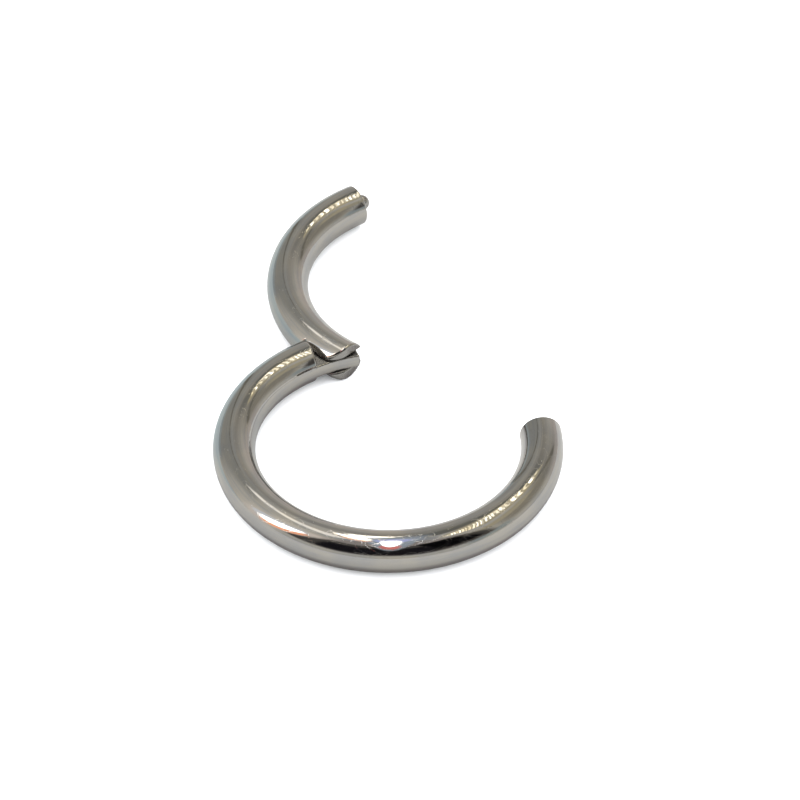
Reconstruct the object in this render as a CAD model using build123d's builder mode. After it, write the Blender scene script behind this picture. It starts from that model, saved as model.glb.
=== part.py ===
"""Hinged segment ring of round wire, lying flat with its segment swung open.

Millimetres, +Z up. The origin is the centre of the main ring's circle, on the surface
that the ring lies on. Angles run anticlockwise from +X, seen from above. The segment is
modelled where it lies open: its circle has the same radius as the main ring's, turned
about the hinge pin by the opening angle.
"""
from build123d import *
from math import asin, cos, degrees, radians, sin
import os

# Ring and wire
inner_diameter = 10.0
wire_diameter = 1.6

# Places round the ring
free_end_angle = 8.0
pin_angle = 112.0
opening_angle = 114.0

# Hinge
tongue_thickness = 0.54
knuckle_reach = 0.85
pin_diameter = 0.6
pin_seat_clearance = 0.01
pin_running_clearance = 0.03

# Closing nub and its socket
nub_diameter = 0.64
nub_height = 0.52

# Gap between the two wires wherever they meet, and the rounding of the cut ends
clearance = 0.05
end_round = 0.06

# Worked out from the sizes above
wire_radius = wire_diameter / 2
ring_radius = inner_diameter / 2 + wire_radius
pin_radius = pin_diameter / 2
nub_radius = nub_diameter / 2
face_gap_angle = degrees(clearance / ring_radius)
overrun = knuckle_reach + wire_radius
overrun_angle = degrees(2 * asin(overrun / (2 * ring_radius)))
beyond = 2 * overrun

up = Vector(0, 0, 1)
ring_centre = Vector(0, 0, wire_radius)


def on_circle(centre, angle):
    """The point of the wire's centre line at an angle round its circle."""
    return centre + Vector(ring_radius * cos(radians(angle)), ring_radius * sin(radians(angle)), 0)


def along_wire(angle):
    """The anticlockwise direction of the wire at an angle round its circle."""
    return Vector(-sin(radians(angle)), cos(radians(angle)), 0)


def outward(angle):
    """The direction away from the circle's centre."""
    return Vector(cos(radians(angle)), sin(radians(angle)), 0)


def section_plane(centre, angle):
    """Upright plane across the wire: its origin on the centre line, x outward, z clockwise."""
    return Plane(origin=on_circle(centre, angle), x_dir=outward(angle), z_dir=-along_wire(angle))


pin_centre = on_circle(ring_centre, pin_angle)
segment_centre = pin_centre + (ring_centre - pin_centre).rotate(Axis.Z, opening_angle)
segment_free_angle = free_end_angle + face_gap_angle
open_pin_angle = pin_angle + opening_angle
open_free_angle = segment_free_angle + opening_angle

# Each wire has a hinge plane at mid height: its origin on the pin's axis, x along the
# wire towards the wire's own body, y outward from its circle.
main_hinge = Plane(origin=pin_centre, x_dir=along_wire(pin_angle), z_dir=-up)
segment_hinge = Plane(origin=pin_centre, x_dir=-along_wire(open_pin_angle), z_dir=up)


def past_knuckle(hinge):
    """What is trimmed off past the knuckle: flat end, outer corner rounded about the pin."""
    with BuildSketch(hinge) as trimmed:
        with Locations((-beyond / 2, 0)):
            Rectangle(beyond, 2 * beyond)
        with Locations((-knuckle_reach / 2, -beyond / 2)):
            Rectangle(knuckle_reach, beyond, mode=Mode.SUBTRACT)
        Circle(knuckle_reach, mode=Mode.SUBTRACT)
    return trimmed.sketch


def knuckle_room(hinge):
    """The stretch of wire that gives way to the other wire's knuckle, up to a flat shoulder."""
    shoulder = knuckle_reach + clearance
    with BuildSketch(hinge) as room:
        with Locations(((shoulder - beyond) / 2, 0)):
            Rectangle(shoulder + beyond, 2 * beyond)
    return room.sketch


def stop_relief(hinge):
    """The outer corner that is cut back so that the open wires meet face to face.

    The cut face lies half a clearance short of the plane that divides the two open wires,
    and its inner corner lies a clearance short of the other wire's shoulder.
    """
    between = radians(180 - opening_angle)
    dividing = Vector(cos(between / 2), sin(between / 2))
    across = Vector(-dividing.Y, dividing.X)
    other_wire = Vector(cos(between), sin(between))
    other_across = Vector(-other_wire.Y, other_wire.X)
    reach = (knuckle_reach + across.dot(other_wire) * clearance / 2) / dividing.dot(other_wire)
    corner = dividing * reach - across * (clearance / 2)
    far = beyond
    with BuildSketch(hinge) as relief:
        Polygon(
            corner,
            corner + dividing * far,
            corner + dividing * far + other_across * far,
            corner + other_across * far,
        )
    return relief.sketch


def round_end(part, plane):
    """Eases the rim of a cut end that lies in a plane."""
    rim = part.faces().sort_by_distance(plane.origin)[0].edges()
    fillet(rim, end_round)


def nub_places(plane):
    """The nub's root on a cut end and the centre of its round tip."""
    tip = plane.origin + plane.z_dir * (nub_height - nub_radius)
    return plane.origin, tip


# The long arc of wire, from its free end clockwise to the hinge
with BuildPart() as main_ring:
    with BuildSketch(section_plane(ring_centre, free_end_angle)):
        Circle(wire_radius)
    revolve(
        axis=Axis(ring_centre, -up),
        revolution_arc=360 - (pin_angle - overrun_angle - free_end_angle),
    )
    round_end(main_ring, section_plane(ring_centre, free_end_angle))

    # Tongue: the middle layer of the wire runs on past the pin
    extrude(past_knuckle(main_hinge), amount=wire_diameter, both=True, mode=Mode.SUBTRACT)
    for side in (1, -1):
        layer = main_hinge.offset(side * tongue_thickness / 2)
        extrude(knuckle_room(layer), amount=side * wire_diameter, mode=Mode.SUBTRACT)
    extrude(stop_relief(main_hinge), amount=wire_diameter, both=True, mode=Mode.SUBTRACT)
    with Locations(main_hinge):
        Cylinder(pin_radius + pin_running_clearance, 2 * wire_diameter, mode=Mode.SUBTRACT)

    # Socket: the closed nub's own shape with clearance, bored out the way that the nub leaves
    closed_root, closed_tip = nub_places(section_plane(ring_centre, segment_free_angle))
    leaving = (closed_tip - pin_centre).rotate(Axis.Z, 90).normalized()
    socket_radius = nub_radius + clearance
    with Locations(Plane(origin=closed_root, z_dir=closed_tip - closed_root)):
        Cylinder(
            socket_radius,
            nub_height - nub_radius,
            align=(Align.CENTER, Align.CENTER, Align.MIN),
            mode=Mode.SUBTRACT,
        )
    with Locations(closed_tip):
        Sphere(socket_radius, mode=Mode.SUBTRACT)
    with Locations(Plane(origin=closed_tip, z_dir=leaving)):
        Cylinder(
            socket_radius,
            wire_diameter,
            align=(Align.CENTER, Align.CENTER, Align.MIN),
            mode=Mode.SUBTRACT,
        )
main_ring.part.label = "main_ring"

# The short arc of wire, from its free end anticlockwise to the hinge
with BuildPart() as hinged_segment:
    with BuildSketch(section_plane(segment_centre, open_free_angle)):
        Circle(wire_radius)
    revolve(
        axis=Axis(segment_centre, up),
        revolution_arc=pin_angle + overrun_angle - segment_free_angle,
    )
    round_end(hinged_segment, section_plane(segment_centre, open_free_angle))

    # Ears: the upper and lower layers of the wire run on past the pin
    slot_half = tongue_thickness / 2 + clearance
    extrude(past_knuckle(segment_hinge), amount=wire_diameter, both=True, mode=Mode.SUBTRACT)
    extrude(knuckle_room(segment_hinge), amount=slot_half, both=True, mode=Mode.SUBTRACT)
    extrude(stop_relief(segment_hinge), amount=wire_diameter, both=True, mode=Mode.SUBTRACT)
    with Locations(segment_hinge):
        Cylinder(pin_radius + pin_seat_clearance, 2 * wire_diameter, mode=Mode.SUBTRACT)

    # Closing nub: a short peg with a round tip
    open_root, open_tip = nub_places(section_plane(segment_centre, open_free_angle))
    with Locations(Plane(origin=open_root, z_dir=open_tip - open_root)):
        Cylinder(nub_radius, 2 * (nub_height - nub_radius))
    with Locations(open_tip):
        Sphere(nub_radius)
hinged_segment.part.label = "hinged_segment"

# The pin, trimmed flush with the wire at both ends
with BuildPart() as hinge_pin:
    with BuildSketch(section_plane(segment_centre, open_pin_angle - overrun_angle)):
        Circle(wire_radius)
    revolve(axis=Axis(segment_centre, up), revolution_arc=2 * overrun_angle)
    with Locations(segment_hinge):
        Cylinder(pin_radius, 2 * wire_diameter, mode=Mode.INTERSECT)
hinge_pin.part.label = "hinge_pin"

os.makedirs("parts", exist_ok=True)
export_step(main_ring.part, "parts/main_ring.step")
export_step(hinged_segment.part, "parts/hinged_segment.step")
export_step(hinge_pin.part, "parts/hinge_pin.step")

for piece in (main_ring.part, hinged_segment.part, hinge_pin.part):
    print(piece.label, "volume", round(piece.volume, 3), "mm3, solids", len(piece.solids()))
print("pin axis at", round(pin_centre.X, 4), round(pin_centre.Y, 4))
print("segment circle at", round(segment_centre.X, 4), round(segment_centre.Y, 4))
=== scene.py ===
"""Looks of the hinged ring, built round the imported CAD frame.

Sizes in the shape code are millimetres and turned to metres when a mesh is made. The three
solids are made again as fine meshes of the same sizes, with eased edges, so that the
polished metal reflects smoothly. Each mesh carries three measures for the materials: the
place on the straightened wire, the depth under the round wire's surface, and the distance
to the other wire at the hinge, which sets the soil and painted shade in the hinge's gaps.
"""
import bmesh
import bpy
import math
import numpy as np
from collections import namedtuple
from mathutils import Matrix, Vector


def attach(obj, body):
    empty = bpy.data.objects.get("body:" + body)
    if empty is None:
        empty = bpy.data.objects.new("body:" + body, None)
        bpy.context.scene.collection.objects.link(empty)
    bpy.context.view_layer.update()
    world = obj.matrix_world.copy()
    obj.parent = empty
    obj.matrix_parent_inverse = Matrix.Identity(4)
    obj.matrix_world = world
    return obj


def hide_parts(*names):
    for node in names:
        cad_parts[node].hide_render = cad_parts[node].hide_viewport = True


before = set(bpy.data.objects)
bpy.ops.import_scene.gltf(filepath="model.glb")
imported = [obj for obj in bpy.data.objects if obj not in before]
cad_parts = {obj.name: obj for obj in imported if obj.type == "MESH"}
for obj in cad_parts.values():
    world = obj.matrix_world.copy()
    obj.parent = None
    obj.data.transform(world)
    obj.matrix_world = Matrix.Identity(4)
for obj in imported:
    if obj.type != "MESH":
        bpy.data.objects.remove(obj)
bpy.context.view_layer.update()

MM = 0.001
UM = 1e-6
DEG = 180 / math.pi

# Sizes of the ring, in millimetres, as in the part's source
RING_RADIUS = 5.8
WIRE_RADIUS = 0.8
FREE_END_ANGLE = 8.0
PIN_ANGLE = 112.0
OPENING_ANGLE = 114.0
TONGUE_THICKNESS = 0.54
KNUCKLE_REACH = 0.85
PIN_RADIUS = 0.3
PIN_SEAT_CLEARANCE = 0.01
PIN_RUNNING_CLEARANCE = 0.03
NUB_RADIUS = 0.32
NUB_HEIGHT = 0.52
CLEARANCE = 0.05
END_ROUND = 0.06

# Eased edges that the part's source leaves sharp
CUT_EASE = 0.03
SHOULDER_EASE = 0.1
KNUCKLE_EASE = 0.1
BORE_EASE = 0.008
SOCKET_EASE = 0.02
NUB_FILLET = 0.03

# The pin's ends, spread and polished flush
PIN_HEAD_SPREAD = 0.05
PIN_HEAD_PROUD = 0.0015
PIN_HEAD_SUNK = 0.004

# Fineness of the meshes: the cells of the hinge and end blocks, the rings along the wire and
# the points of a ring
CELL = 0.022
STATION = 0.1
SIDES = 96

# The blocks' reach along the wire, their spare room, and the room for the wire's bend
HINGE_REACH = 1.2
HINGE_BEND = 0.11
END_REACH = 0.95
END_BEND = 0.08
MARGIN = 2 * CELL

# Rings over the eased rim, the cut face, the nub's foot and its dome, whose last one is the tip
RIM_RINGS = 6
FACE_RINGS = 5
FOOT_RINGS = 4
DOME_RINGS = 16

# Rings on the pin's heads and wall, and the first and last head ring as shares of the radius
PIN_HEAD_RINGS = 14
PIN_WALL_RINGS = 9
PIN_HEAD_SHARES = 0.08, 0.99

# Degrees between two faces from which their edge is shaded sharp
SHARP_FROM = 30

SEGMENT_FREE_ANGLE = FREE_END_ANGLE + math.degrees(CLEARANCE / RING_RADIUS)
OPEN_PIN_ANGLE = PIN_ANGLE + OPENING_ANGLE
OPEN_FREE_ANGLE = SEGMENT_FREE_ANGLE + OPENING_ANGLE
UP = np.array([0.0, 0.0, 1.0])

# Where the measure along each wire starts: an angle of its circle that is clear of the wire
MAIN_START = 60.0
SEGMENT_START = OPEN_FREE_ANGLE - 60.0


def outward(angle):
    """The direction away from a circle's centre."""
    a = math.radians(angle)
    return np.array([math.cos(a), math.sin(a), 0.0])


def along_wire(angle):
    """The anticlockwise direction of the wire at an angle round its circle."""
    a = math.radians(angle)
    return np.array([-math.sin(a), math.cos(a), 0.0])


def turned(v, angle):
    """A vector turned about the upright axis."""
    c = math.cos(math.radians(angle))
    s = math.sin(math.radians(angle))
    return np.array([v[0] * c - v[1] * s, v[0] * s + v[1] * c, v[2]])


MAIN_CENTRE = UP * WIRE_RADIUS
PIN = MAIN_CENTRE + RING_RADIUS * outward(PIN_ANGLE)
SEGMENT_CENTRE = PIN + turned(MAIN_CENTRE - PIN, OPENING_ANGLE)


# Distance fields: negative inside the metal

def join(a, b, ease):
    """Union of two fields with an eased inner corner."""
    u = np.maximum(ease - a, 0)
    v = np.maximum(ease - b, 0)
    return np.maximum(ease, np.minimum(a, b)) - np.hypot(u, v)


def common(a, b, ease):
    """Intersection of two fields with an eased outer edge."""
    return -join(-a, -b, ease)


def torus(p, centre):
    """The whole round wire about a circle's centre."""
    q = p - centre
    return np.hypot(np.hypot(q[:, 0], q[:, 1]) - RING_RADIUS, q[:, 2]) - WIRE_RADIUS


def capsule(p, a, b, radius):
    """A rod with round ends between two points."""
    d = b - a
    t = np.clip((p - a) @ d / (d @ d), 0, 1)
    return np.linalg.norm(p - a - t[:, None] * d, axis=1) - radius


def stop_relief(x, y):
    """The outer corner cut back so that the open wires meet face to face."""
    between = math.radians(180 - OPENING_ANGLE)
    dividing = np.array([math.cos(between / 2), math.sin(between / 2)])
    across = np.array([-dividing[1], dividing[0]])
    other = np.array([math.cos(between), math.sin(between)])
    reach = (KNUCKLE_REACH + across @ other * CLEARANCE / 2) / (dividing @ other)
    corner = dividing * reach - across * (CLEARANCE / 2)
    past_face = (x - corner[0]) * across[0] + (y - corner[1]) * across[1]
    past_end = (x - corner[0]) * other[0] + (y - corner[1]) * other[1]
    return np.minimum(past_face, past_end)


def knuckle(p, centre, x_axis, y_axis, layer, bore):
    """A wire's hinge end: x towards the wire's own body, y outward from its circle.

    layer gives the field of the heights that run on past the shoulder.
    """
    q = p - PIN
    x = q @ x_axis
    y = q @ y_axis
    far = np.hypot(x, y)
    wire = torus(p, centre)
    body = common(wire, KNUCKLE_REACH + CLEARANCE - x, SHOULDER_EASE)
    run_on = common(wire, layer(q[:, 2]), CUT_EASE)
    flat_half = np.maximum(-KNUCKLE_REACH - x, y)
    end = np.minimum(np.minimum(-x, far - KNUCKLE_REACH), flat_half)
    f = common(np.minimum(body, run_on), end, KNUCKLE_EASE)
    f = common(f, stop_relief(x, y), CUT_EASE)
    return common(f, bore - far, BORE_EASE)


def tongue_layer(z):
    return np.abs(z) - TONGUE_THICKNESS / 2


def ear_layers(z):
    return TONGUE_THICKNESS / 2 + CLEARANCE - np.abs(z)


MAIN_AXES = along_wire(PIN_ANGLE), outward(PIN_ANGLE)
SEGMENT_AXES = -along_wire(OPEN_PIN_ANGLE), outward(OPEN_PIN_ANGLE)


def main_knuckle(p):
    return knuckle(p, MAIN_CENTRE, *MAIN_AXES, tongue_layer, PIN_RADIUS + PIN_RUNNING_CLEARANCE)


def segment_knuckle(p):
    return knuckle(p, SEGMENT_CENTRE, *SEGMENT_AXES, ear_layers, PIN_RADIUS + PIN_SEAT_CLEARANCE)


def main_free_end(p):
    """The cut end with its socket: the closed nub's shape, bored out the way that it leaves."""
    face = MAIN_CENTRE + RING_RADIUS * outward(FREE_END_ANGLE)
    root = MAIN_CENTRE + RING_RADIUS * outward(SEGMENT_FREE_ANGLE)
    tip = root - along_wire(SEGMENT_FREE_ANGLE) * (NUB_HEIGHT - NUB_RADIUS)
    leaving = turned(tip - PIN, 90)
    leaving /= np.linalg.norm(leaving)
    socket = np.minimum(
        capsule(p, root, tip, NUB_RADIUS + CLEARANCE),
        capsule(p, tip, tip + leaving * 2 * WIRE_RADIUS, NUB_RADIUS + CLEARANCE),
    )
    f = common(torus(p, MAIN_CENTRE), (p - face) @ along_wire(FREE_END_ANGLE), END_ROUND)
    return common(f, -socket, SOCKET_EASE)


# Meshes from fields

SLOPE_STEP = 1e-4
SETTLING_ROUNDS = 4
LEAST_SLOPE = 0.2
TINY = 1e-12


def gradient(field, p):
    slopes = []
    for k in range(3):
        step = np.zeros(3)
        step[k] = SLOPE_STEP
        slopes.append((field(p + step) - field(p - step)) / (2 * SLOPE_STEP))
    return np.stack(slopes, 1)


def settled(field, points):
    """Points moved onto a field's zero surface, half a cell at most in each of a few rounds."""
    for _ in range(SETTLING_ROUNDS):
        g = gradient(field, points)
        move = field(points)[:, None] * g / np.maximum((g * g).sum(1), LEAST_SLOPE)[:, None]
        size = np.linalg.norm(move, axis=1, keepdims=True)
        points = points - move * np.minimum(1, CELL / 2 / np.maximum(size, TINY))
    return points


def crossed_edges(values, inside, counts):
    """For each cell, the places where the surface crosses its edges, added up, and their number.

    A place is a share of the cell in each direction.
    """
    places = np.zeros(counts + [3])
    hits = np.zeros(counts)
    for axis in range(3):
        b, c = [k for k in range(3) if k != axis]
        for s in (0, 1):
            for t in (0, 1):
                first = [slice(None)] * 3
                first[b] = slice(s, s + counts[b])
                first[c] = slice(t, t + counts[c])
                last = list(first)
                first[axis] = slice(0, counts[axis])
                last[axis] = slice(1, counts[axis] + 1)
                near = values[tuple(first)]
                far = values[tuple(last)]
                crossing = inside[tuple(first)] != inside[tuple(last)]
                hits += crossing
                places[..., axis] += np.where(crossing, near / np.where(crossing, near - far, 1), 0)
                places[..., b] += crossing * s
                places[..., c] += crossing * t
    return places, hits


def quads_between(inside, index, counts):
    """A quad for each crossed edge within the block, between the points of the four cells round it."""
    quads = []
    for axis in range(3):
        b, c = [k for k in range(3) if k != axis]
        first = [slice(1, n) for n in counts]
        first[axis] = slice(0, counts[axis])
        last = list(first)
        last[axis] = slice(1, counts[axis] + 1)
        at = np.stack(np.nonzero(inside[tuple(first)] != inside[tuple(last)]), 1)
        at[:, b] += 1
        at[:, c] += 1
        corners = []
        for db, dc in ((-1, -1), (0, -1), (0, 0), (-1, 0)):
            k = at.copy()
            k[:, b] += db
            k[:, c] += dc
            corners.append(index[k[:, 0], k[:, 1], k[:, 2]])
        quads.append(np.stack(corners, 1))
    return np.concatenate(quads)


def net(field, origin, axes, low, high):
    """Quads over a field's zero surface in a block of cells, open where the block ends."""
    counts = [max(2, int(round((b - a) / CELL))) for a, b in zip(low, high)]
    lines = [np.linspace(a, b, n + 1) for a, b, n in zip(low, high, counts)]
    grid = np.stack(np.meshgrid(*lines, indexing="ij"), -1).reshape(-1, 3)
    values = field(origin + grid @ axes).reshape([n + 1 for n in counts])
    inside = values < 0
    places, hits = crossed_edges(values, inside, counts)
    crossed = hits > 0
    index = np.full(counts, -1)
    index[crossed] = np.arange(crossed.sum())
    local = np.stack(np.nonzero(crossed), 1) + places[crossed] / hits[crossed][:, None]
    sizes = np.array([(b - a) / n for a, b, n in zip(low, high, counts)])
    points = settled(field, origin + (np.array(low) + local * sizes) @ axes)
    return points, quads_between(inside, index, counts)


def open_loop(quads, count):
    """The one open border of a patch, as an ordered list of its points."""
    edges = np.concatenate([quads[:, [k, (k + 1) % 4]] for k in range(4)])
    key = np.sort(edges, 1)
    unique, times = np.unique(key[:, 0] * count + key[:, 1], return_counts=True)
    border = unique[times == 1]
    links = {}
    for a, b in zip(border // count, border % count):
        links.setdefault(int(a), []).append(int(b))
        links.setdefault(int(b), []).append(int(a))
    start = min(links)
    loop = [start]
    before, now = start, links[start][0]
    while now != start:
        loop.append(now)
        onward = [k for k in links[now] if k != before]
        before, now = now, onward[0]
    return loop


def section_angle(p, centre):
    """The angle round the wire's section, from its outer side upward."""
    q = p - centre
    return np.arctan2(q[..., 2], np.hypot(q[..., 0], q[..., 1]) - RING_RADIUS)


def in_turn(ring, angle):
    """A closed ring of points from its lowest angle on, in the rising direction."""
    start = int(np.argmin([angle[k] for k in ring]))
    ring = ring[start:] + ring[:start]
    if angle[ring[len(ring) // 4]] > angle[ring[3 * len(ring) // 4]]:
        ring = [ring[0]] + ring[:0:-1]
    return ring


def zip_rings(a, b, angle):
    """Triangles between two closed rings of points, by their angle round the wire."""
    a = in_turn(list(a), angle)
    b = in_turn(list(b), angle)
    turn_a = [angle[k] for k in a] + [angle[a[0]] + 2 * math.pi]
    turn_b = [angle[k] for k in b] + [angle[b[0]] + 2 * math.pi]
    i = j = 0
    faces = []
    while i < len(a) or j < len(b):
        if j == len(b) or (i < len(a) and turn_a[i + 1] <= turn_b[j + 1]):
            faces.append((a[i], a[(i + 1) % len(a)], b[j % len(b)]))
            i += 1
        else:
            faces.append((a[i % len(a)], b[(j + 1) % len(b)], b[j]))
            j += 1
    return faces


ROUND = np.linspace(-math.pi, math.pi, SIDES, endpoint=False)


def wire_ring(centre, angles):
    """One ring of wire points: a place round the circle for each line along the wire."""
    reach = RING_RADIUS + WIRE_RADIUS * np.cos(ROUND)
    a = np.radians(angles)
    return centre + np.stack([reach * np.cos(a), reach * np.sin(a), WIRE_RADIUS * np.sin(ROUND)], 1)


def flat_ring(angle, distance):
    """Angles where the lines along the wire meet an upright plane, by its distance from an angle."""
    reach = RING_RADIUS + WIRE_RADIUS * np.cos(ROUND)
    return angle + np.degrees(np.arcsin(distance / reach))


def wire_rings(centre, first, last):
    """Evenly spaced rings of wire points from one row of angles to another."""
    length = abs(math.radians(float(np.mean(last - first)))) * RING_RADIUS
    count = max(2, int(round(length / STATION)))
    return [wire_ring(centre, first + (last - first) * k / count) for k in range(count + 1)]


# How far the hinge's soil and painted shade reach from the pin, and the gap that is given beyond it
HINGE_SOIL_AND_SHADE_REACH = 2 * WIRE_RADIUS
NO_GAP = 1.0


class Shape:
    """Points and faces of one piece while it is put together."""

    def __init__(self):
        self.points = []
        self.faces = []
        self.count = 0

    def add(self, points):
        """Adds points and gives the number of the first."""
        start = self.count
        self.points.append(np.asarray(points, float))
        self.count += len(points)
        return start

    def rings(self, rings):
        """Adds rings of points and the quads between them; gives the first and last ring's starts."""
        starts = [self.add(ring) for ring in rings]
        for a, b in zip(starts[:-1], starts[1:]):
            for k in range(SIDES):
                n = (k + 1) % SIDES
                self.faces.append((a + k, a + n, b + n, b + k))
        return starts[0], starts[-1]

    def cap(self, ring, point):
        """Closes a ring with a fan of triangles to one point."""
        middle = self.add([point])
        for k in range(SIDES):
            self.faces.append((ring + k, ring + (k + 1) % SIDES, middle))

    def patch(self, points, quads, ring, centre):
        """Adds a net patch and zips its open border to a ring."""
        start = self.add(points)
        self.faces.extend(map(tuple, quads + start))
        border = [start + k for k in open_loop(quads, len(points))]
        angle = section_angle(np.concatenate(self.points), centre)
        self.faces.extend(zip_rings(border, range(ring, ring + SIDES), angle))

    def build(self, name, material, centre, start_angle, neighbour):
        """Makes the piece, with its measures for the materials as point attributes."""
        points = np.concatenate(self.points)
        mesh = bpy.data.meshes.new(name)
        mesh.from_pydata((points * MM).tolist(), [], self.faces)
        shell = bmesh.new()
        shell.from_mesh(mesh)
        bmesh.ops.recalc_face_normals(shell, faces=shell.faces)
        shell.to_mesh(mesh)
        shell.free()
        mesh.shade_smooth()
        mesh.set_sharp_from_angle(angle=math.radians(SHARP_FROM))
        q = points - centre
        turn = (np.degrees(np.arctan2(q[:, 1], q[:, 0])) - start_angle) % 360
        off = np.hypot(q[:, 0], q[:, 1]) - RING_RADIUS
        place = np.stack([off, q[:, 2], np.radians(turn) * RING_RADIUS], 1)
        # The gap to the other wire near the hinge, which sets the soil and painted shade there
        at_hinge = np.linalg.norm(points - PIN, axis=1) < HINGE_SOIL_AND_SHADE_REACH
        gap = np.where(at_hinge, np.abs(neighbour(points)), NO_GAP)
        for key, kind, member, values in (
            ("wire_mm", "FLOAT_VECTOR", "vector", place),
            ("depth_mm", "FLOAT", "value", -torus(points, centre)),
            ("gap_mm", "FLOAT", "value", gap),
        ):
            held = mesh.attributes.new(key, kind, "POINT")
            held.data.foreach_set(member, values.astype(np.float32).ravel())
        mesh.materials.append(material)
        piece = bpy.data.objects.new(name, mesh)
        bpy.context.scene.collection.objects.link(piece)
        return piece


class Graph:
    """A node tree, with short calls for the nodes that the looks here are made of."""

    def __init__(self, tree):
        self.nodes = tree.nodes
        self.links = tree.links
        self.nodes.clear()

    def node(self, kind, **settings):
        made = self.nodes.new(kind)
        for key, value in settings.items():
            setattr(made, key, value)
        return made

    def put(self, socket, value):
        """Links a socket to another node's output, or sets its value."""
        if isinstance(value, bpy.types.NodeSocket):
            self.links.new(value, socket)
        elif isinstance(value, tuple) and socket.type == "RGBA":
            socket.default_value = (*value, 1)
        else:
            socket.default_value = value

    def math(self, operation, *values):
        made = self.node("ShaderNodeMath", operation=operation)
        for socket, value in zip(made.inputs, values):
            self.put(socket, value)
        return made.outputs[0]

    def product(self, *masks):
        whole = masks[0]
        for mask in masks[1:]:
            whole = self.math("MULTIPLY", whole, mask)
        return whole

    def vector(self, operation, *values):
        made = self.node("ShaderNodeVectorMath", operation=operation)
        for socket, value in zip(made.inputs, values):
            self.put(socket, value)
        return made.outputs["Value" if operation in ("DOT_PRODUCT", "LENGTH") else "Vector"]

    def step(self, value, low, high, to=1.0):
        """Smooth rise from 0 at low to a value at high, or the fall where low is above high."""
        made = self.node("ShaderNodeMapRange", interpolation_type="SMOOTHSTEP")
        self.put(made.inputs["Value"], value)
        ends = sorted(((low, 0.0), (high, to)))
        for name, number in zip(("From Min", "To Min", "From Max", "To Max"), (*ends[0], *ends[1])):
            made.inputs[name].default_value = number
        return made.outputs["Result"]

    def band(self, value, low, high, soft):
        """1 between two values, falling to 0 over a soft edge on either side."""
        return self.product(self.step(value, low - soft, low), self.step(value, high + soft, high))

    def mix(self, mask, first, second):
        """Colour that goes from the first to the second where a mask is 1.

        The node's colour sockets share their names with others, so they are taken by number.
        """
        made = self.node("ShaderNodeMix", data_type="RGBA", clamp_factor=True)
        self.put(made.inputs[0], mask)
        self.put(made.inputs[6], first)
        self.put(made.inputs[7], second)
        return made.outputs[2]

    def noise(self, vector, scale, detail=2.0, roughness=0.5, distortion=0.0):
        made = self.node("ShaderNodeTexNoise")
        self.put(made.inputs["Vector"], vector)
        made.inputs["Scale"].default_value = scale
        made.inputs["Detail"].default_value = detail
        made.inputs["Roughness"].default_value = roughness
        made.inputs["Distortion"].default_value = distortion
        return made.outputs[0]

    def bump(self, height, depth_um, under=None):
        made = self.node("ShaderNodeBump")
        made.inputs["Distance"].default_value = depth_um * UM
        self.put(made.inputs["Height"], height)
        if under is not None:
            self.put(made.inputs["Normal"], under)
        return made.outputs[0]


# Materials: the scales of noise and spots on the steel are per millimetre

Noise = namedtuple("Noise", "scale detail roughness distortion", defaults=(0.5, 0.0))
CLOUDS = Noise(0.8, 3.0)
DIRT = Noise(5.0, 4.0, 0.6)
SMEARS = Noise(1.3, 4.0, 0.6, 1.2)
RIPPLES = Noise(3.6, 1.0)

# Noise drawn out along the wire: its scale across the wire, then along it
Drawn = namedtuple("Drawn", "across along detail roughness", defaults=(0.5,))
GRAIN = Drawn(9.0, 0.35, 3.0, 0.6)
LINES = Drawn(26.0, 0.5, 2.0)
HAIRLINES = Drawn(2.6, 0.3, 1.0)
WAVES = Drawn(1.0, 0.55, 1.0)

# The cutter's marks, fine across the wire in the level direction
CUTTER_SCALES = (3.0, 45.0, 3.0)
CUTTER_DETAIL = 2.0

# Levels of the noise where each mark starts and is full
CLOUD_LEVELS = 0.75, 1.25
DIRT_LEVELS = 0.35, 0.65
SMEAR_LEVELS = 0.45, 0.75
HAIR_LEVELS = 0.006, 0.001

# Heights of the steel's relief, in thousandths of a millimetre
WAVE_DEPTH_UM = 10.0
RIPPLE_DEPTH_UM = 1.0
LINE_DEPTH_UM = 0.12
HAIR_DEPTH_UM = 0.6
CUTTER_DEPTH_UM = 0.6
TURNING_DEPTH_UM = 0.15

# Distance between the turned rings on the pin's ends
TURNING_PITCH = 0.02

# The mirror's own roughness, and what each mark adds to it
MIRROR_ROUGHNESS = 0.02
SMEAR_ROUGHNESS = 0.045
LINE_ROUGHNESS = 0.02
HAIR_ROUGHNESS = 0.12
SPECK_ROUGHNESS = 0.14
DIRT_ROUGHNESS = 0.25
CUT_ROUGHNESS = 0.18

# Shades of a steel's colour, the dark of the hinge's soil with painted shade between the wires, and how
# much of that and of the pits cover
COOL = (0.91, 0.93, 0.97)
WARM = (1.07, 1.05, 1.01)
CUT_SHADE = (0.8, 0.8, 0.8)
PIT_SHADE = (0.5, 0.5, 0.5)
SOIL_AND_SHADE = (0.09, 0.08, 0.065)
SOIL_AND_SHADE_COVER = 0.55
PIT_COVER = 0.5

# Depth under the round surface where a cut face starts and is full, and the gap to the other wire where the
# soil with painted shade starts and is full
CUT_FROM = 0.02
CUT_FULL = 0.05
SOIL_AND_SHADE_GAP = 0.14
SOIL_AND_SHADE_FULL_GAP = 0.03

# Round spots in the cells of a pattern: in the cells whose chance is past rare, from rim to core
Spots = namedtuple("Spots", "scale rare certain rim core")
PITS = Spots(3.2, 0.86, 0.88, 0.10, 0.05)
SPECKS = Spots(7.0, 0.70, 0.74, 0.22, 0.10)

# Stray hairlines: their tilt to the wire in radians, and the level of the noise that they follow
Hair = namedtuple("Hair", "tilt level")
HAIRS = (Hair(0.35, 0.46), Hair(-0.6, 0.55))


def shaded(colour, shade):
    return tuple(c * k for c, k in zip(colour, shade))


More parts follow.
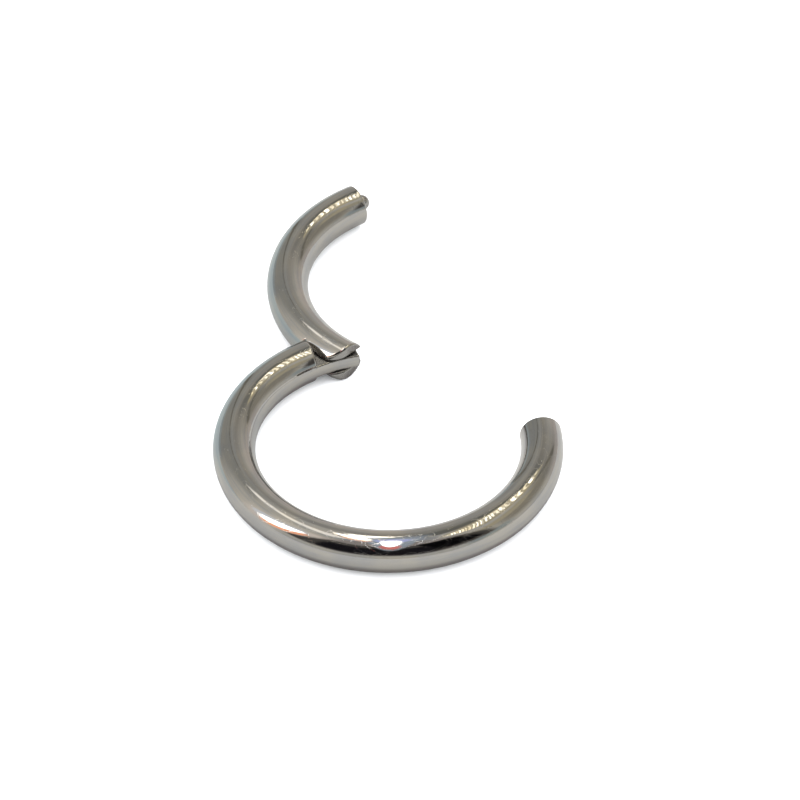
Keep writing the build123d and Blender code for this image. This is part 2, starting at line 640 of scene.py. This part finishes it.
class Steel(Graph):
    """A steel's tree, with the piece's measures and the marks that follow the wire."""

    def __init__(self, tree, seed):
        super().__init__(tree)
        wire = self.node("ShaderNodeAttribute", attribute_name="wire_mm").outputs["Vector"]
        depth = self.node("ShaderNodeAttribute", attribute_name="depth_mm").outputs["Fac"]
        gap = self.node("ShaderNodeAttribute", attribute_name="gap_mm").outputs["Fac"]
        self.place = self.vector("ADD", wire, (seed, 0.0, 0.0))
        self.cut = self.step(depth, CUT_FROM, CUT_FULL)
        dirt = self.step(self.noise(self.place, *DIRT), *DIRT_LEVELS)
        # Soil near the other wire at the hinge, darkened by closeness to it as painted shade between the
        # parts
        self.soil_and_shade = self.product(self.step(gap, SOIL_AND_SHADE_GAP, SOIL_AND_SHADE_FULL_GAP), dirt)
        self.pits = self.spots(PITS)
        self.specks = self.spots(SPECKS)
        self.lines = self.drawn(self.place, LINES)
        self.hairs = self.hairlines()

    def drawn(self, place, kind):
        """Noise drawn out along the wire."""
        stretched = self.vector("MULTIPLY", place, (kind.across, kind.across, kind.along))
        return self.noise(stretched, 1.0, kind.detail, kind.roughness)

    def spots(self, kind):
        cells = self.node("ShaderNodeTexVoronoi")
        self.put(cells.inputs["Vector"], self.place)
        cells.inputs["Scale"].default_value = kind.scale
        chance = self.vector("DOT_PRODUCT", cells.outputs["Color"], (1.0, 0.0, 0.0))
        chosen = self.step(chance, kind.rare, kind.certain)
        return self.product(self.step(cells.outputs["Distance"], kind.rim, kind.core), chosen)

    def hairlines(self):
        """A few stray scratches across the wire, on the level lines of a slanted long noise."""
        whole = 0.0
        for hair in HAIRS:
            slant = self.node("ShaderNodeVectorRotate", rotation_type="X_AXIS")
            self.put(slant.inputs["Vector"], self.place)
            slant.inputs["Angle"].default_value = hair.tilt
            level = self.drawn(slant.outputs[0], HAIRLINES)
            away = self.math("ABSOLUTE", self.math("SUBTRACT", level, hair.level))
            whole = self.math("MAXIMUM", whole, self.step(away, *HAIR_LEVELS))
        return whole

    def tone(self, colour):
        """Slow warm and cool clouds, darker on the cuts and in the pits, with soil and painted shade in the
        hinge's gaps.
        """
        grain = self.drawn(self.place, GRAIN)
        clouds = self.step(self.math("ADD", self.noise(self.place, *CLOUDS), grain), *CLOUD_LEVELS)
        tone = self.mix(clouds, shaded(colour, COOL), shaded(colour, WARM))
        tone = self.mix(self.cut, tone, shaded(colour, CUT_SHADE))
        # Soil and painted shade in the hinge's gaps, near black
        tone = self.mix(self.math("MULTIPLY", self.soil_and_shade, SOIL_AND_SHADE_COVER), tone, SOIL_AND_SHADE)
        return self.mix(self.math("MULTIPLY", self.pits, PIT_COVER), tone, shaded(colour, PIT_SHADE))

    def roughness(self):
        """Mirror with smears and wear along the wire, satin on the cut faces."""
        smears = self.step(self.noise(self.place, *SMEARS), *SMEAR_LEVELS, SMEAR_ROUGHNESS)
        rough = self.math("ADD", MIRROR_ROUGHNESS, smears)
        for mask, added in (
            (self.lines, LINE_ROUGHNESS),
            (self.hairs, HAIR_ROUGHNESS),
            (self.specks, SPECK_ROUGHNESS),
            (self.math("MAXIMUM", self.pits, self.soil_and_shade), DIRT_ROUGHNESS),
            (self.cut, CUT_ROUGHNESS),
        ):
            rough = self.math("ADD", rough, self.math("MULTIPLY", mask, added))
        return rough

    def polish(self):
        """Relief of the waviness of hand polishing, then of the lines, hairlines and pits."""
        relief = self.bump(self.drawn(self.place, WAVES), WAVE_DEPTH_UM)
        relief = self.bump(self.noise(self.place, *RIPPLES), RIPPLE_DEPTH_UM, relief)
        relief = self.bump(self.lines, LINE_DEPTH_UM, relief)
        return self.bump(self.math("MAXIMUM", self.hairs, self.pits), -HAIR_DEPTH_UM, relief)

    def cutter_marks(self, relief):
        """Marks of the saw on the cut faces."""
        marks = self.noise(self.vector("MULTIPLY", self.place, CUTTER_SCALES), 1.0, CUTTER_DETAIL)
        return self.bump(self.math("MULTIPLY", marks, self.cut), CUTTER_DEPTH_UM, relief)

    def turned_rings(self, relief):
        """Rings about the pin's axis."""
        spot = self.node("ShaderNodeTexCoord").outputs["Object"]
        flat = self.vector("MULTIPLY", self.vector("SUBTRACT", spot, tuple(PIN * MM)), (1.0, 1.0, 0.0))
        turns = self.math("MULTIPLY", self.vector("LENGTH", flat), 2 * math.pi / (TURNING_PITCH * MM))
        return self.bump(self.math("SINE", turns), TURNING_DEPTH_UM, relief)


def steel(name, colour, seed, turned_about_pin=False):
    """Machine-polished steel: wavy, with polishing lines, hairlines, pits, smears and satin cuts."""
    material = bpy.data.materials.new(name)
    material.use_nodes = True
    g = Steel(material.node_tree, seed)
    polish = g.polish()
    shader = g.node("ShaderNodeBsdfPrincipled")
    shader.inputs["Metallic"].default_value = 1.0
    g.put(shader.inputs["Base Color"], g.tone(colour))
    g.put(shader.inputs["Roughness"], g.roughness())
    g.put(shader.inputs["Normal"], g.turned_rings(polish) if turned_about_pin else g.cutter_marks(polish))
    g.put(g.node("ShaderNodeOutputMaterial").inputs["Surface"], shader.outputs[0])
    return material


polished_steel = steel("polished_steel_finish", (0.367, 0.356, 0.338), 0.0)
pin_steel = steel("pin_steel_finish", (0.358, 0.35, 0.336), 40.0, turned_about_pin=True)


# Pieces

def hinge_block(field, x_axis, y_axis):
    """The net of a wire's hinge end, from past its knuckle to the plain wire."""
    inner = WIRE_RADIUS + MARGIN
    low = (-KNUCKLE_REACH - MARGIN, -inner - HINGE_BEND, -inner)
    return net(field, PIN, np.stack([x_axis, y_axis, UP]), low, (HINGE_REACH, inner, inner))


def end_block():
    """The net of the main ring's free end, from the plain wire to past the cut."""
    inner = WIRE_RADIUS + MARGIN
    face = MAIN_CENTRE + RING_RADIUS * outward(FREE_END_ANGLE)
    axes = np.stack([along_wire(FREE_END_ANGLE), outward(FREE_END_ANGLE), UP])
    return net(main_free_end, face, axes, (-END_REACH, -inner - END_BEND, -inner), (MARGIN, inner, inner))


def make_main_ring():
    shape = Shape()
    first = flat_ring(PIN_ANGLE, HINGE_REACH + MARGIN)
    last = flat_ring(FREE_END_ANGLE, -END_REACH - MARGIN) + 360
    hinge_ring, end_ring = shape.rings(wire_rings(MAIN_CENTRE, first, last))
    shape.patch(*hinge_block(main_knuckle, *MAIN_AXES), hinge_ring, MAIN_CENTRE)
    shape.patch(*end_block(), end_ring, MAIN_CENTRE)
    return shape.build("ring_wire", polished_steel, MAIN_CENTRE, MAIN_START, segment_knuckle)


def quarter(steps):
    """Sines and cosines of angles from 0 to a right angle, leaving out the first."""
    turns = [math.pi / 2 * k / steps for k in range(1, steps + 1)]
    return [(math.sin(t), math.cos(t)) for t in turns]


def end_profile():
    """Radius and distance past the cut for the rings over the eased rim, the face and the nub."""
    rim = [(WIRE_RADIUS - END_ROUND * (1 - c), END_ROUND * (s - 1)) for s, c in quarter(RIM_RINGS)]
    nub_foot = NUB_RADIUS + NUB_FILLET
    face = [(r, 0.0) for r in np.linspace(WIRE_RADIUS - END_ROUND, nub_foot, FACE_RINGS + 1)[1:]]
    foot = [(NUB_RADIUS + NUB_FILLET * (1 - s), NUB_FILLET * (1 - c)) for s, c in quarter(FOOT_RINGS)]
    root = NUB_HEIGHT - NUB_RADIUS
    neck = [(NUB_RADIUS, (NUB_FILLET + root) / 2), (NUB_RADIUS, root)]
    dome = [(NUB_RADIUS * c, root + NUB_RADIUS * s) for s, c in quarter(DOME_RINGS)[:-1]]
    return rim + face + foot + neck + dome


def make_segment():
    shape = Shape()
    first = flat_ring(OPEN_PIN_ANGLE, -HINGE_REACH - MARGIN)
    last = flat_ring(OPEN_FREE_ANGLE, END_ROUND)
    rings = wire_rings(SEGMENT_CENTRE, first, last)
    face = SEGMENT_CENTRE + RING_RADIUS * outward(OPEN_FREE_ANGLE)
    ahead = -along_wire(OPEN_FREE_ANGLE)
    circle = np.cos(ROUND)[:, None] * outward(OPEN_FREE_ANGLE) + np.sin(ROUND)[:, None] * UP
    rings += [face + ahead * distance + radius * circle for radius, distance in end_profile()]
    hinge_ring, tip_ring = shape.rings(rings)
    shape.cap(tip_ring, face + ahead * NUB_HEIGHT)
    shape.patch(*hinge_block(segment_knuckle, *SEGMENT_AXES), hinge_ring, SEGMENT_CENTRE)
    return shape.build("segment_wire", polished_steel, SEGMENT_CENTRE, SEGMENT_START, main_knuckle)


def pin_end(radius, side, drop):
    """A ring of the pin's end, which follows the wire's own surface, lowered by the eased edge."""
    points = PIN + radius * np.stack([np.cos(ROUND), np.sin(ROUND), 0 * ROUND], 1)
    q = points - SEGMENT_CENTRE
    off = np.hypot(q[:, 0], q[:, 1]) - RING_RADIUS
    points[:, 2] += side * (np.sqrt(WIRE_RADIUS ** 2 - off ** 2) - drop)
    return points


def no_neighbour(p):
    return np.full(len(p), NO_GAP)


def make_pin():
    shape = Shape()
    head = PIN_RADIUS + PIN_HEAD_SPREAD
    shares = np.linspace(*PIN_HEAD_SHARES, PIN_HEAD_RINGS)
    discs = [(head * share, -PIN_HEAD_PROUD) for share in shares]
    discs += [(head, PIN_HEAD_SUNK), (PIN_RADIUS, 2 * PIN_HEAD_SUNK)]
    top = [pin_end(radius, 1, drop) for radius, drop in discs]
    bottom = [pin_end(radius, -1, drop) for radius, drop in discs]
    down = (bottom[-1] - top[-1]) / (PIN_WALL_RINGS + 1)
    wall = [top[-1] + down * k for k in range(1, PIN_WALL_RINGS + 1)]
    first, last = shape.rings(top + wall + bottom[::-1])
    shape.cap(first, pin_end(0.0, 1, -PIN_HEAD_PROUD)[0])
    shape.cap(last, pin_end(0.0, -1, -PIN_HEAD_PROUD)[0])
    return shape.build("pin_drum", pin_steel, SEGMENT_CENTRE, SEGMENT_START, no_neighbour)


for piece, node, body, slot in (
    (make_main_ring(), "main_ring", "ring", "polished_steel"),
    (make_segment(), "hinged_segment", "segment", "polished_steel"),
    (make_pin(), "hinge_pin", "segment", "pin_steel"),
):
    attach(piece, body)
    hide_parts(node)


# Floor: matt white board, a hair below the ring. It is lit past white, as in the photograph,
# and the metal mirrors it at the level of the metal's own exposure.

FLOOR_HALF = 1.5
FLOOR_DROP = 0.01 * MM
FLOOR_TINT_SCALE = 60.0
FLOOR_GRAIN = Noise(1500.0, 3.0)
FLOOR_GRAIN_UM = 4.0
FLOOR_WHITES = (0.875, 0.89, 0.91), (0.89, 0.905, 0.925)
FLOOR_IN_METAL = (0.41, 0.41, 0.40)

# Cooler and darker at the back left: from where it starts, left and back, to where it is full
BACK_LEFT_IN_METAL = (0.30, 0.345, 0.36)
LEFT_FROM, LEFT_FULL = -3 * MM, -8 * MM
BACK_FROM, BACK_FULL = -2 * MM, 3 * MM

# Painted shade on the floor under the main ring's wire, seen by the metal alone: its reach on either side
# of the wire's circle
PAINTED_SHADE_UNDER_WIRE = (0.25, 0.24, 0.24)
SHADE_UNDER_WIRE_REACH, SHADE_UNDER_WIRE_FULL = 1.2 * MM, 0.7 * MM


def floor_finish():
    material = bpy.data.materials.new("floor_white")
    material.use_nodes = True
    g = Graph(material.node_tree)
    spot = g.node("ShaderNodeTexCoord").outputs["Object"]
    white = g.mix(g.noise(spot, FLOOR_TINT_SCALE), *FLOOR_WHITES)
    place = g.node("ShaderNodeSeparateXYZ")
    g.put(place.inputs[0], spot)
    left = g.step(place.outputs[0], LEFT_FROM, LEFT_FULL)
    back = g.step(place.outputs[1], BACK_FROM, BACK_FULL)
    in_metal = g.mix(g.product(left, back), FLOOR_IN_METAL, BACK_LEFT_IN_METAL)
    # Painted shade: the floor is darker near the main ring's circle, in the metal's view alone
    from_wire = g.math("ABSOLUTE", g.math("SUBTRACT", g.vector("LENGTH", spot), RING_RADIUS * MM))
    painted_shade_under_wire = g.step(from_wire, SHADE_UNDER_WIRE_REACH, SHADE_UNDER_WIRE_FULL)
    in_metal = g.mix(painted_shade_under_wire, in_metal, PAINTED_SHADE_UNDER_WIRE)
    mirrored = g.node("ShaderNodeLightPath").outputs["Is Glossy Ray"]
    shader = g.node("ShaderNodeBsdfDiffuse")
    g.put(shader.inputs["Color"], g.mix(mirrored, white, in_metal))
    g.put(shader.inputs["Normal"], g.bump(g.noise(spot, *FLOOR_GRAIN), FLOOR_GRAIN_UM))
    g.put(g.node("ShaderNodeOutputMaterial").inputs["Surface"], shader.outputs[0])
    return material


def make_floor():
    corners = [(FLOOR_HALF * x, FLOOR_HALF * y, 0) for x, y in ((-1, -1), (1, -1), (1, 1), (-1, 1))]
    mesh = bpy.data.meshes.new("floor")
    mesh.from_pydata(corners, [], [(0, 1, 2, 3)])
    mesh.materials.append(floor_finish())
    floor = bpy.data.objects.new("floor", mesh)
    floor.location = (0, 0, -FLOOR_DROP)
    bpy.context.scene.collection.objects.link(floor)
    return floor


make_floor()


# World: an even white dome lights the floor, and the metal mirrors a light box open in front.
# Azimuth is 0 straight behind the ring and 90 to its right, elevation 90 overhead, in degrees.
# What is listed later lies over what is listed before it.

DOME_STRENGTH = 2.8
PLAIN_BOX = (0.88, 0.86, 0.80)

Patch = namedtuple("Patch", "middle half low high side_soft end_soft colour")
PATCHES = (
    # Walls
    Patch(20, 37, -2, 14, 14, 16, (0.82, 0.76, 0.71)),
    Patch(20, 22, 41, 43, 11, 24, (0.61, 0.58, 0.52)),
    Patch(-96, 5, -10, 57, 17, 10, (1.14, 1.09, 1.00)),
    Patch(-33, 11, 6, 47, 30, 8, (0.50, 0.50, 0.47)),
    Patch(72, 21, 25, 36, 26, 20, (0.49, 0.46, 0.39)),
    Patch(117, 10, 8, 17, 10, 7, (0.55, 0.62, 0.64)),
    # Cool light low at the back left
    Patch(-32, 14, -2, 5, 12, 7, (0.55, 0.62, 0.64)),
    # Warm light on the right wall under the strip, and a dark rail above the strip's back end
    Patch(88, 19, 41, 46, 11, 7, (0.72, 0.66, 0.50)),
    Patch(18, 9, 49, 73, 11, 12, (0.29, 0.29, 0.26)),
    # Ceiling, its bright rear left corner and its front edge
    Patch(0, 180, 80, 90, 1, 8, (0.60, 0.62, 0.64)),
    Patch(-41, 5, 54, 69, 19, 4, (1.00, 0.95, 0.86)),
    Patch(178, 59, 66, 79, 19, 7, (0.60, 0.54, 0.50)),
    # Seams between the walls
    Patch(-20, 0.8, 5, 44, 1.5, 4, (0.30, 0.29, 0.25)),
    Patch(47, 1.3, 19, 43, 3, 4, (0.34, 0.32, 0.27)),
    # Dark room beyond the open front
    Patch(178, 62, 20, 60, 8, 8, (0.14, 0.13, 0.12)),
    Patch(137, 14, 27, 64, 6, 4, (0.004, 0.004, 0.005)),
    Patch(-172, 35, 24, 50, 6, 6, (0.02, 0.018, 0.022)),
    # Light that runs on below the left lamp
    Patch(-95, 2.0, 9, 18, 3, 4, (2.2, 2.1, 1.9)),
)

# The left lamp, which leans: a soft surround, a cool rim above, an orange rim below and the core
LEAN = -0.37
SideLamp = namedtuple("SideLamp", "middle height half_width half_height soft colour")
LEFT_LAMP = (
    SideLamp(-106, 33, 11, 24, 0.7, (1.30, 1.20, 1.12)),
    SideLamp(-101, 36, 8, 17, 0.4, (1.30, 1.38, 1.50)),
    SideLamp(-110, 28, 8, 18, 0.3, (2.20, 1.05, 0.65)),
    SideLamp(-106, 33, 6, 14, 0.5, (7.0, 6.9, 6.7)),
)

# Two tubes that run down from the ceiling's left towards the back. Each lies on a great circle,
# given by its highest point's azimuth and elevation, from start to end in degrees past that point.
Tube = namedtuple("Tube", "azimuth peak half_width side_soft start end end_soft colour")
TUBES = (
    Tube(-79.2, 81.5, 1.4, 1.0, 12, 34, 3, (6.0, 5.7, 5.0)),
    Tube(-110.5, 78.6, 2.5, 3, 8, 37, 3, (2.2, 2.1, 1.9)),
)

# Lamps overhead, long from front to back. A halo, the red front end, the blue back end and the
# core of the near one, then the orange end and the core of the one to its left.
# Places are in degrees from the zenith.
TopLamp = namedtuple("TopLamp", "left back half_width half_length soft colour")
OVERHEAD = (
    TopLamp(-1.0, -8, 6, 31, 0.4, (0.68, 0.78, 0.90)),
    TopLamp(-0.8, -27, 3.2, 10, 0.6, (1.50, 0.48, 0.44)),
    TopLamp(-0.8, 7, 3.2, 9, 0.6, (1.00, 1.12, 1.80)),
    TopLamp(-0.8, -8, 2.3, 13, 0.5, (8.0, 7.9, 7.8)),
    TopLamp(7.5, 6, 2.5, 6, 0.6, (2.00, 1.25, 0.90)),
    TopLamp(6.0, 16, 2.2, 8, 0.5, (5.5, 5.0, 4.2)),
)

# The strip of lamps: beads on a great circle that peaks over the right wall. Each bead is a short
# bar, slanted as the wire's own curve spreads it, so that it crosses the wire as a rib.
STRIP_AZIMUTH = 89.4
STRIP_PEAK = 68.7
STRIP_GLOW = (0.85, 0.76, 0.54)
BEAD_PITCH = 2.3
BEAD_HALF = 0.3
BEAD_SOFT = 0.5
BEAD_SLANT = 2.24
SLANT_ALONG = 0.037
SLANT_OFF = -0.08
DIM_BEAD = (2.6, 2.3, 1.6)
BRIGHT_BEAD = (7.0, 6.6, 5.6)

# Low end, high end and soft edge of the lit stretch along the strip, and of the glow and the
# beads across it, in degrees
LIT_BAND = -38, 0, 1
GLOW_BAND = -5, 9, 5
BEAD_BAND = -4, 4, 3


def towards(azimuth, elevation):
    """The direction at an azimuth and elevation in degrees."""
    a = math.radians(azimuth)
    e = math.radians(elevation)
    return (math.sin(a) * math.cos(e), math.cos(a) * math.cos(e), math.sin(e))


class LightBox(Graph):
    """The world's tree: masks by direction, and the look of the box that they are laid over."""

    def __init__(self, tree):
        super().__init__(tree)
        self.sight = self.node("ShaderNodeTexCoord").outputs["Generated"]
        axes = self.node("ShaderNodeSeparateXYZ")
        self.put(axes.inputs[0], self.sight)
        x, y, z = axes.outputs
        self.azimuth = self.math("MULTIPLY", self.math("ARCTAN2", x, y), DEG)
        self.elevation = self.math("MULTIPLY", self.math("ARCSINE", z), DEG)
        self.look = PLAIN_BOX

    def lay(self, mask, colour):
        self.look = self.mix(mask, self.look, colour)

    def great_circle(self, azimuth, peak):
        """Degrees off a great circle that peaks at an azimuth, and along it from the peak rightward."""
        top = towards(azimuth, peak)
        side = towards(azimuth + 90, 0)
        pole = tuple(Vector(top).cross(Vector(side)))
        off = self.math("MULTIPLY", self.math("ARCSINE", self.vector("DOT_PRODUCT", self.sight, pole)), DEG)
        sideways = self.vector("DOT_PRODUCT", self.sight, side)
        turn = self.math("ARCTAN2", sideways, self.vector("DOT_PRODUCT", self.sight, top))
        return off, self.math("MULTIPLY", turn, DEG)

    def oval(self, x, y, half_x, half_y, soft):
        """Mask of an oval about the zero of two values, its soft edge a share of its size."""
        x = self.math("DIVIDE", x, float(half_x))
        y = self.math("DIVIDE", y, float(half_y))
        squares = self.math("ADD", self.math("MULTIPLY", x, x), self.math("MULTIPLY", y, y))
        return self.step(self.math("SQRT", squares), 1.0 + soft, 1.0)

    def lay_patch(self, patch):
        aside = self.math("WRAP", self.math("SUBTRACT", self.azimuth, float(patch.middle)), 180.0, -180.0)
        sides = self.step(self.math("ABSOLUTE", aside), patch.half + patch.side_soft, patch.half)
        ends = self.band(self.elevation, patch.low, patch.high, patch.end_soft)
        self.lay(self.product(sides, ends), patch.colour)

    def lay_side_lamp(self, lamp):
        height = self.math("SUBTRACT", self.elevation, float(lamp.height))
        middle = self.math("ADD", self.math("MULTIPLY", height, LEAN), float(lamp.middle))
        aside = self.math("SUBTRACT", self.azimuth, middle)
        self.lay(self.oval(aside, height, lamp.half_width, lamp.half_height, lamp.soft), lamp.colour)

    def lay_tube(self, tube):
        off, along = self.great_circle(tube.azimuth, tube.peak)
        width = self.band(off, -tube.half_width, tube.half_width, tube.side_soft)
        self.lay(self.product(width, self.band(along, tube.start, tube.end, tube.end_soft)), tube.colour)

    def lay_top_lamps(self, lamps):
        off, along = self.great_circle(-90, 90)
        for lamp in lamps:
            aside = self.math("SUBTRACT", off, float(lamp.left))
            length = self.math("SUBTRACT", along, float(lamp.back))
            self.lay(self.oval(aside, length, lamp.half_width, lamp.half_length, lamp.soft), lamp.colour)

    def lay_bead_strip(self):
        off, along = self.great_circle(STRIP_AZIMUTH, STRIP_PEAK)
        lit = self.band(along, *LIT_BAND)
        slant = self.math("MULTIPLY", along, SLANT_ALONG)
        slant = self.math("ADD", slant, self.math("MULTIPLY", off, SLANT_OFF))
        slant = self.math("ADD", slant, BEAD_SLANT)
        run = self.math("SUBTRACT", along, self.math("MULTIPLY", off, slant))
        number = self.node("ShaderNodeTexWhiteNoise", noise_dimensions="1D")
        self.put(number.inputs["W"], self.math("ROUND", self.math("DIVIDE", run, BEAD_PITCH)))
        shine = self.mix(number.outputs["Value"], DIM_BEAD, BRIGHT_BEAD)
        self.lay(self.product(self.band(off, *GLOW_BAND), lit), STRIP_GLOW)
        bead = self.step(self.math("PINGPONG", run, BEAD_PITCH / 2), BEAD_HALF + BEAD_SOFT, BEAD_HALF)
        self.lay(self.product(bead, self.band(off, *BEAD_BAND), lit), shine)

    def finish(self):
        """Shows the box to glossy rays alone, and the even dome to all others."""
        dome = self.node("ShaderNodeBackground")
        dome.inputs["Color"].default_value = (1.0, 1.0, 1.0, 1)
        dome.inputs["Strength"].default_value = DOME_STRENGTH
        box = self.node("ShaderNodeBackground")
        self.put(box.inputs["Color"], self.look)
        choice = self.node("ShaderNodeMixShader")
        self.put(choice.inputs[0], self.node("ShaderNodeLightPath").outputs["Is Glossy Ray"])
        self.put(choice.inputs[1], dome.outputs[0])
        self.put(choice.inputs[2], box.outputs[0])
        self.put(self.node("ShaderNodeOutputWorld").inputs["Surface"], choice.outputs[0])


world = bpy.data.worlds.new("light_box")
bpy.context.scene.world = world
world.use_nodes = True
light_box = LightBox(world.node_tree)
for patch in PATCHES:
    light_box.lay_patch(patch)
for lamp in LEFT_LAMP:
    light_box.lay_side_lamp(lamp)
for tube in TUBES:
    light_box.lay_tube(tube)
light_box.lay_top_lamps(OVERHEAD)
light_box.lay_bead_strip()
light_box.finish()


# Camera at the photograph's angle

CAMERA_ELEVATION = math.radians(41.216)
CAMERA_AIM = Vector((0.446, 2.879, 0.6)) * MM
CAMERA_DISTANCE = 200 * MM
CAMERA_LENS_MM = 236.3
SENSOR_MM = 36
NEAREST_M = 0.01
FARTHEST_M = 10

forward = Vector((0, math.cos(CAMERA_ELEVATION), -math.sin(CAMERA_ELEVATION)))
lens = bpy.data.cameras.new("camera")
lens.lens = CAMERA_LENS_MM
lens.sensor_width = SENSOR_MM
lens.clip_start = NEAREST_M
lens.clip_end = FARTHEST_M
camera = bpy.data.objects.new("camera", lens)
camera.location = CAMERA_AIM - forward * CAMERA_DISTANCE
camera.rotation_euler = forward.to_track_quat("-Z", "Y").to_euler()
bpy.context.scene.collection.objects.link(camera)
bpy.context.scene.camera = camera

bpy.context.scene.view_settings.view_transform = "Standard"
